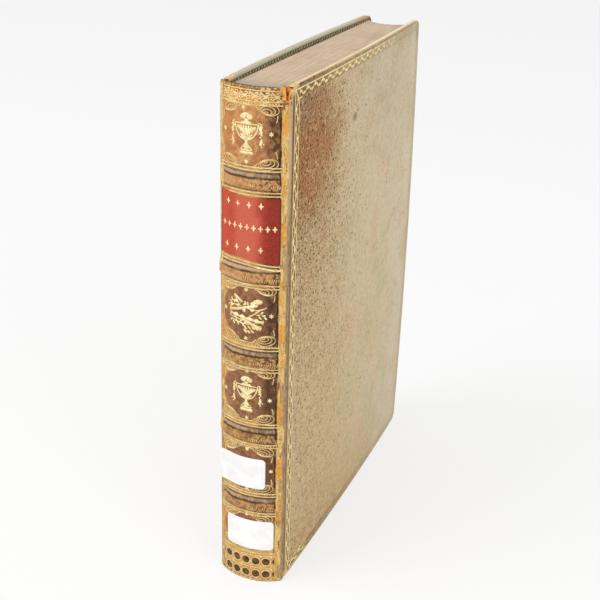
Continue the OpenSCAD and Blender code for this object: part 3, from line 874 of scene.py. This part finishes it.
def strokes(lines, width=gold["line"], closed=False):
    bpy.ops.curve.primitive_nurbs_path_add()
    curve = bpy.context.object.data
    curve.splines.clear()
    for points in lines:
        spline = curve.splines.new("NURBS")
        spline.points.add(len(points) - 1)
        for knot, (x, y) in zip(spline.points, points):
            knot.co = (x * mm, y * mm, 0, 1)
        spline.order_u = min(3, len(points))
        spline.use_endpoint_u = not closed
        spline.use_cyclic_u = closed
    curve.twist_mode = "Z_UP"
    curve.resolution_u = 3
    curve.bevel_depth = width * mm / 2
    curve.bevel_resolution = 0
    curve.use_fill_caps = True
    bpy.ops.object.convert(target="MESH")
    made = bpy.context.object
    made.scale.z = gold["thick"] / width
    made.location.z = gold["lift"] * mm
    settle(made)
    return made


def beads(spots):  # flat ovals: place, two radii and a turn in degrees
    bpy.ops.mesh.primitive_uv_sphere_add(segments=8, ring_count=4, radius=mm, location=(0, 0, 0))
    first = bpy.context.object
    copies = []
    for x, y, rx, ry, turn in spots:
        bead = first.copy()
        bead.data = first.data.copy()
        sizes = Matrix.Diagonal((rx, ry, gold["thick"] / 2, 1))
        spin = Matrix.Rotation(math.radians(turn), 4, "Z")
        bead.data.transform(Matrix.Translation((x * mm, y * mm, gold["lift"] * mm)) @ spin @ sizes)
        bpy.context.scene.collection.objects.link(bead)
        copies.append(bead)
    bpy.data.objects.remove(first)
    return joined(copies, "beads")


def star(x, y, r):
    return [(x, y, r, r * 0.24, turn) for turn in (90, 30, 150)] + [(x, y, r * 0.35, r * 0.35, 0)]


def ring(x, y, rx, ry, turn=0, count=10):
    c, s = math.cos(math.radians(turn)), math.sin(math.radians(turn))
    spots = []
    for k in range(count):
        px = rx * math.cos(2 * math.pi * k / count)
        py = ry * math.sin(2 * math.pi * k / count)
        spots.append((x + px * c - py * s, y + px * s + py * c))
    return spots


def placed(points, x, y, turn=0, scale=1, flip=1):
    c, s = math.cos(math.radians(turn)) * scale, math.sin(math.radians(turn)) * scale
    return [(x + flip * (px * c - py * s), y + px * s + py * c) for px, py in points]


def shifted(spots, x, y):
    return [(x + px, y + py, rx, ry, turn) for px, py, rx, ry, turn in spots]


def both(points):
    return [points, [(-x, y) for x, y in points]]


def level(x0, x1, y, step=2.0):  # a straight line with enough points to bend round the back
    count = max(2, round((x1 - x0) / step) + 1)
    return [(x0 + (x1 - x0) * k / (count - 1), y) for k in range(count)]


def upright(x, y0, y1, step=2.0):
    return [(x, y) for y, _ in level(y0, y1, 0, step)]


def tooled(name, parts, finish=None, surface=ontoBack, body="block", *where):
    piece = joined(parts, name)
    surface(piece, *where)
    finished(piece, finish or goldSpine, body)
    return piece


# An urn with handles and garlands, its foot at the origin
urn = {
    "outline": [(0, 8.2), (2.8, 8.7), (5.3, 11.2), (6.8, 14.4), (7.4, 17.6)],
    "handle": [(6.9, 15.4), (8.2, 15.8), (8.8, 17.4), (8.0, 18.6), (7.3, 18.0)],
    "foot": [(3.7, 2.6), (2.6, 4.0), (1.5, 5.2), (0.9, 6.0)],
    "beads": [(0, 4.2, 2.0, 1.4, 0), (0, 5.9, 1.3, 0.9, 0), (0, 7.3, 0.9, 0.8, 0), (0, 18.2, 3.6, 0.9, 0),
              (0, 19.6, 1.5, 0.8, 0), (-2.0, 21.5, 2.1, 1.7, 20), (2.0, 21.5, 2.1, 1.7, -20), (0, 23.1, 2.2, 0.6, 0)],
    "garland": (0.6, 0.8, 1.15, 1.0, 0.75, 0.6, 0.7, 1.2, 1.0, 0.6),
}


def makeUrn(number, x, foot):
    bold = both(urn["outline"])
    bold += [[(k * 0.42, 8.6), (k * 0.95, 10.2), (k * 1.18, 11.6)] for k in range(-3, 4)]
    fine = both(urn["handle"]) + both(urn["foot"]) + [level(-7.2, 7.2, 17.4)]
    spots = list(urn["beads"])
    spots += [(k * 1.3, 13.6 + 0.1 * k * k, 0.74, 3.4 - 0.13 * k * k, -k * 8) for k in range(-4, 5)]
    for s in (-1, 1):
        for k, size in enumerate(urn["garland"]):
            spots.append((s * (8.9 + 0.35 * math.sin(k * 2.2)), 17.6 - k * 1.4, size, size * 0.8, k * 40))
        spots += [(s * 8.2, 6.4, 0.6, 0.4, 30), (s * 10.4, 6.6, 0.6, 0.4, -30), (s * 8.2, 12.8, 0.6, 0.4, 30)]
    move = lambda lines: [placed(line, x, foot) for line in lines]
    tooled(f"urnTooling_{number}", [
        strokes(move(bold), 0.95), strokes(move(fine), 0.75), strokes(move([level(-4.2, 4.2, 0.9)]), 2.2),
        strokes(move([level(-3.2, 3.2, 2.5)]), 1.2), beads(shifted(spots, x, foot))], goldBold)


# A trophy: a torch and a quiver crossed under a helmet and a plume, with sprigs
def makeTrophy(x, middle):
    chance = random.Random(5)
    bars = [([(-10.5, -1.6), (0, -2.6), (10.5, -4.2)], 3.2), ([(-3, -3.0), (3, -5.6), (9, -8.4)], 2.4),
            ([(-7.6, 9.8), (-5.4, 8.8), (-2.2, 6.2)], 1.9), ([(-11, 0.4), (-5, 1.6), (2, 4.6), (7, 5.6)], 1.8)]
    fine = [[(2, 3.2), (6, 2.6), (9, 3.4), (12, 4.8)], [(-11, -3.2), (-2, -4.4), (9.4, -6.6)],
            [(-12, 3), (-8, 4.6), (-3, 3.8)], [(2, -1.4), (6, 0.6), (8.4, 3.2)], [(-9, -5), (-4, -6.4), (2, -6.2)]]
    spots = [(7.0, 7.8, 3.2, 1.7, 8), (4.4, 6.6, 2.0, 1.2, 30), (-6.4, 8.6, 1.6, 0.8, -40)]
    spots += [(chance.uniform(-10, 5), 4.2 + chance.uniform(-2.6, 2.6), 1.4, 0.6, chance.uniform(-80, 80))
              for _ in range(26)]
    spots += [(-9.4 + 1.5 * k, -5.4 - 1.4 * (k % 2), 1.3, 0.6, 55 - 110 * (k % 2)) for k in range(7)]
    spots += [(chance.uniform(-1, 8), -9.0 + chance.uniform(-2.2, 1.4), 1.5, 0.6, -40) for _ in range(9)]
    spots += [(6.4 + 1.0 * k, 1.6 - 1.5 * (k % 3), 1.3, 0.55, 50 - 45 * (k % 3)) for k in range(6)]
    big = 1.08
    parts = [strokes([placed(line, x, middle, 0, big)], width) for line, width in bars]
    parts.append(strokes([placed(line, x, middle, 0, big) for line in fine], 0.75))
    parts.append(beads([(x + px * big, middle + py * big, rx, ry, turn) for px, py, rx, ry, turn in spots]))
    tooled("trophyTooling", parts, goldBold)


# Corner fans: ovals one inside the other, and a scroll towards the middle of the panel
def cornerFan(x, y, right, up):
    loops, lines = [], []
    for k in range(4):
        loops.append([(x - right * px, y + up * py) for px, py in
                      ring(7.4 - 0.5 * k, 4.5 - 0.6 * k, 1.0 + 1.65 * k, 0.55 + 0.95 * k, -10)])
    for points in ([(18.2, 1.0), (15.6, 0.6), (13.2, 1.4), (12.0, 3.2)], [(1.0, 6.0), (0.9, 8.4), (1.8, 10.2)]):
        lines.append([(x - right * px, y + up * py) for px, py in points])
    return loops, lines


tooling = {
    "middle": -0.8, "right": 17.2, "left": -20.0,
    "stars": [(-4, 313), (-2, 282.5), (12.4, 299), (-17.5, 299), (-1.7, 205.4), (-1.7, 174), (13.9, 190),
              (-17.5, 190), (-0.8, 152.5), (-0.8, 120.5), (13.6, 134), (-17.5, 136), (-0.4, 98.5), (-0.4, 70),
              (15, 84), (-0.4, 50.5)],
    "urns": [(-2.2, 286.5), (-1.2, 125)],
    "trophy": (-1.8, 190.0),
}


def makePanelTooling():
    loops, lines, spots = [], [], []
    for low, high in panels:
        top = high + 1 if high > 300 else high
        for right, x in ((1, tooling["right"] - 0.4), (-1, tooling["left"] + 0.4)):
            for up, y in ((1, low), (-1, top)):
                one, other = cornerFan(x, y, right, up)
                loops += one
                lines += other
    tooled("cornerFans", [strokes(loops, 0.55, closed=True), strokes(lines, 0.7)])
    span = tooling["right"] - tooling["left"]
    count = round(span / 1.7)
    for y in [low - 1.2 for low, _ in panels] + [high + 1.2 for _, high in panels]:
        spots += [(tooling["left"] + span * (k + 0.5) / count, y, 0.6, 0.5, 0) for k in range(count)]
    tooled("panelEdging", [beads(spots)])
    spots = [spot for x, y in tooling["stars"] for spot in star(x, y, 1.7)]
    tooled("starTooling", [beads(spots)], goldBold)


def makeBandTooling():
    chance, lines = random.Random(3), []
    for number, z in enumerate(book["bands"], 1):
        for k in range(-15 if number == 4 else 0, 14):
            x, y = 1.0 + 1.25 * k + chance.uniform(-0.2, 0.2), z / mm - 2.6 + chance.uniform(-0.5, 0.5)
            lines.append([(x, y - chance.uniform(0.8, 1.6)), (x + 0.3, y), (x + 0.7, y + chance.uniform(0.8, 1.8))])
    tooled("bandTooling", [strokes(lines, 0.45)], goldFaint)


def makeHeadRoll():
    waves, spots = [], []
    for y, turn in ((318.0, 1), (321.2, -1)):
        for k in range(6):
            x = -18.6 + 6.2 * k
            waves.append([(x, y - turn), (x + 1.6, y + 1.1 * turn), (x + 4.2, y + 1.1 * turn), (x + 5.0, y - 0.5 * turn),
                          (x + 3.4, y - 0.9 * turn), (x + 2.9, y + 0.1 * turn)])
            spots.append((x + 5.9, y + 0.5 * turn, 0.6, 0.5, 0))
    lines = [level(-19, 18.5, 319.6), level(-19, 18.5, 322.9)]
    tooled("headRoll", [strokes(waves, 0.65), strokes(lines, 0.5), beads(spots)], goldBold)


def makeTailRoll():
    rings, spots = [], []
    for y in (15.6, 5.9):
        for k in range(6):
            x = tooling["middle"] + 6.75 * (k - 3)
            if k < 5:
                rings.append(ring(x + 6.75, y, 3.1, 3.2, 0, 14))
            spots += [(x + 3.4, y + 3.6, 0.7, 0.7, 0), (x + 3.4, y - 3.6, 0.7, 0.7, 0)]
    lines = [level(-20, 18.5, y) for y in (10.7, 1.3)]
    tooled("tailRoll", [strokes(rings, 0.95, closed=True), strokes(lines, 0.6), beads(spots)])


def makeLetteringTooling():  # rows of plain fleurons in place of a title
    rows = ((257.4, 4, 7.2, -3.6), (244.0, 9, 4.1, -1.2), (231.0, 4, 7.6, -4.2))
    spots = []
    for y, count, step, middle in rows:
        for k in range(count):
            x = middle + step * (k - (count - 1) / 2)
            spots += [(x, y, 0.62, 2.2, 0), (x - 0.95, y, 0.5, 0.5, 0), (x + 0.95, y, 0.5, 0.5, 0)]
    gold["lift"] += 0.36
    tooled("letteringTooling", [beads(spots)], goldBold)
    gold["lift"] -= 0.36


for number, (x, foot) in enumerate(tooling["urns"], 1):
    makeUrn(number, x, foot)
makeTrophy(*tooling["trophy"])
makePanelTooling()
makeBandTooling()
makeHeadRoll()
makeTailRoll()
makeLetteringTooling()
print("spine tooled")


# Vine roll round the covers, between the two lines
roll = {"period": 11.0, "joint": 5.3, "inset": 2.9, "width": 4.8, "coverWidth": 236.0, "coverHeight": 325.0}


def vine(length, toPlace):
    count = round(length / roll["period"])
    step, middle = length / count, roll["width"] / 2
    stem = [toPlace(step * k / 8, middle - 1.7 * math.cos(2 * math.pi * k / 8)) for k in range(count * 8 + 1)]
    spots = []
    for k in range(count * 2):
        up = 1 if k % 2 else -1
        for along, across, rx, ry in ((0, 0.6, 1.3, 0.8), (0, 1.7, 0.5, 0.5)):
            x, y = toPlace((k + 0.05) * step / 2 + along, middle + up * across)
            spots.append((x, y, rx, ry, 90 if toPlace(1, 0)[1] != toPlace(0, 0)[1] else 0))
    return [stem], spots


def makeCoverRoll(name, side, body):
    near, inset = roll["joint"], roll["inset"]
    far, high = roll["coverWidth"] - inset, roll["coverHeight"] - inset
    runs = [
        (high - inset, lambda s, t: (near + t, inset + s)),
        (far - near - 12, lambda s, t: (near + 6 + s, high - t)),
        (far - near - 12, lambda s, t: (near + 6 + s, inset + t)),
        (high - inset - 12, lambda s, t: (far - t, inset + 6 + s)),
    ]
    lines, spots = [], []
    for length, toPlace in runs:
        one, other = vine(length, toPlace)
        lines += one
        spots += other
    tooled(name, [strokes(lines, 1.1), beads(spots)], goldCover, ontoCover, body, side)


def edgePoint(a, d, w, side, end):  # on the board's edge at head or tail: a from the joint, d under the face
    x = book["jointX"] - a * math.sin(lean) - d * math.cos(lean)
    height = book["height"] + w if end > 0 else -w
    return Vector((side * x + bow(a, height, side), book["jointY"] + a * math.cos(lean), height))


def ontoEdge(piece, side, end):
    settle(piece)
    for v in piece.data.vertices:
        v.co = edgePoint(*v.co, side, end)
    mended(piece)


def makeEdgeHatching(name, side, body, end):
    lines = [[(6 + 1.9 * k, 1.3), (6.9 + 1.9 * k, 2.1), (7.4 + 1.9 * k, 3.0)] for k in range(58)]
    tooled(name, [strokes(lines, 0.5)], goldFaint, ontoEdge, body, side, end)


def ontoInside(piece, side):
    settle(piece)
    for v in piece.data.vertices:
        a, h, w = v.co
        v.co = coverPoint(a, h, -book["coverThick"] - w, side)
    mended(piece)


def makeDentelle(name, side, body):
    zig = []
    for y0, y1 in ((2.2, 7.2), (322.8, 317.8)):
        zig += [[(12 + 4.2 * k, y0), (14.1 + 4.2 * k, y1), (16.2 + 4.2 * k, y0)] for k in range(51)]
    zig += [[(233.8, 12 + 4.2 * k), (228.8, 14.1 + 4.2 * k), (233.8, 16.2 + 4.2 * k)] for k in range(71)]
    tooled(name, [strokes(zig, 0.7)], goldInside, ontoInside, body, side)


for side, word in ((1, "front"), (-1, "back")):
    makeCoverRoll(f"{word}CoverRoll", side, f"{word}_cover")
    makeDentelle(f"{word}Dentelle", side, f"{word}_cover")
    makeEdgeHatching(f"{word}HeadEdgeRoll", side, f"{word}_cover", 1)
print("covers tooled")


# The scrap of leather rolled up over the tear at the head of the front joint, sizes in mm
def makeScrap():
    bpy.ops.mesh.primitive_grid_add(x_subdivisions=scrap["across"], y_subdivisions=scrap["along"], size=1)
    flap = bpy.context.object
    flap.name = flap.data.name = "tornScrap"
    lost = []
    for v in flap.data.vertices:
        s, t = v.co.x + 0.5, v.co.y + 0.5
        shake = noise.noise(Vector((s * 4, t * 3, 5)))
        lost.append(t > 0.7 and shake > 0.36)
        half = 0.2 + 0.42 * t
        angle = scrap["gap"] + half + 2 * (math.pi - half) * s
        r = (scrap["foot"] + (scrap["mouth"] - scrap["foot"]) * t) * (1 - 0.12 * s) + shake * 0.25
        h = scrap["low"] + (scrap["high"] - scrap["low"]) * t + shake * 1.6 * t
        v.co = Vector((scrap["x"] + r * math.cos(angle), scrap["y"] + r * math.sin(angle), h)) * mm
    torn(flap, lost)
    modify(flap, "SOLIDIFY", thickness=scrap["thick"] * mm, offset=0)
    modify(flap, "SUBSURF", levels=1, render_levels=1)
    mended(flap)
    finished(flap, tornCalf(), "block")


makeScrap()


# Floor and lamps
stage = {
    "floor": 6.0,
    "world": 0.62,
    "white": 0.68,       # how much of the floor's look is plain white paper
    "lamps": [
        # place, size, power
        ((-1.3, -1.2, 2.0), 1.6, 26),
        ((1.6, -1.0, 1.2), 1.2, 12),
    ],
}


def setStage():
    bpy.ops.mesh.primitive_plane_add(size=stage["floor"], location=(0, 0, 0))
    floor = bpy.context.object
    floor.name = "floor"
    f = Finish("floorPaper", Base_Color=tone(250, 251, 250), Roughness=0.9, Specular_IOR_Level=0.1)
    ray = f.tree.nodes.new("ShaderNodeLightPath")
    seen = [Value(f, ray.outputs[f"Is {kind} Ray"]) for kind in ("Camera", "Glossy", "Transmission")]
    white = f.node("ShaderNodeEmission", {}, {"Color": (1, 1, 1, 1)})
    share = seen[0].most(seen[1]).most(seen[2]) * stage["white"]
    both = f.node("ShaderNodeMixShader", {}, {0: share, 1: Value(f, f.shader.outputs[0]), 2: white})
    f.tree.links.new(both.socket, f.tree.nodes["Material Output"].inputs["Surface"])
    floor.data.materials.append(f.material)
    world = bpy.data.worlds.new("studio")
    bpy.context.scene.world = world
    world.use_nodes = True
    tree = world.node_tree
    air = tree.nodes["Background"]
    air.inputs["Color"].default_value = (1, 1, 1, 1)
    ray = tree.nodes.new("ShaderNodeLightPath")
    seen = tree.nodes.new("ShaderNodeMath")
    seen.operation = "MAXIMUM"
    level = tree.nodes.new("ShaderNodeMapRange")
    level.inputs["To Min"].default_value = stage["world"]
    level.inputs["To Max"].default_value = 1.0
    tree.links.new(ray.outputs["Is Camera Ray"], seen.inputs[0])
    tree.links.new(ray.outputs["Is Glossy Ray"], seen.inputs[1])
    tree.links.new(seen.outputs[0], level.inputs["Value"])
    tree.links.new(level.outputs["Result"], air.inputs["Strength"])
    for place, size, power in stage["lamps"]:
        aim = (Vector((0, 0, 0.15)) - Vector(place)).to_track_quat("-Z", "Y").to_euler()
        bpy.ops.object.light_add(type="AREA", location=place, rotation=aim)
        lamp = bpy.context.object
        lamp.data.size = size
        lamp.data.energy = power
    bpy.context.scene.view_settings.view_transform = "Standard"


setCamera()
setStage()
print("camera, floor and lamps set")
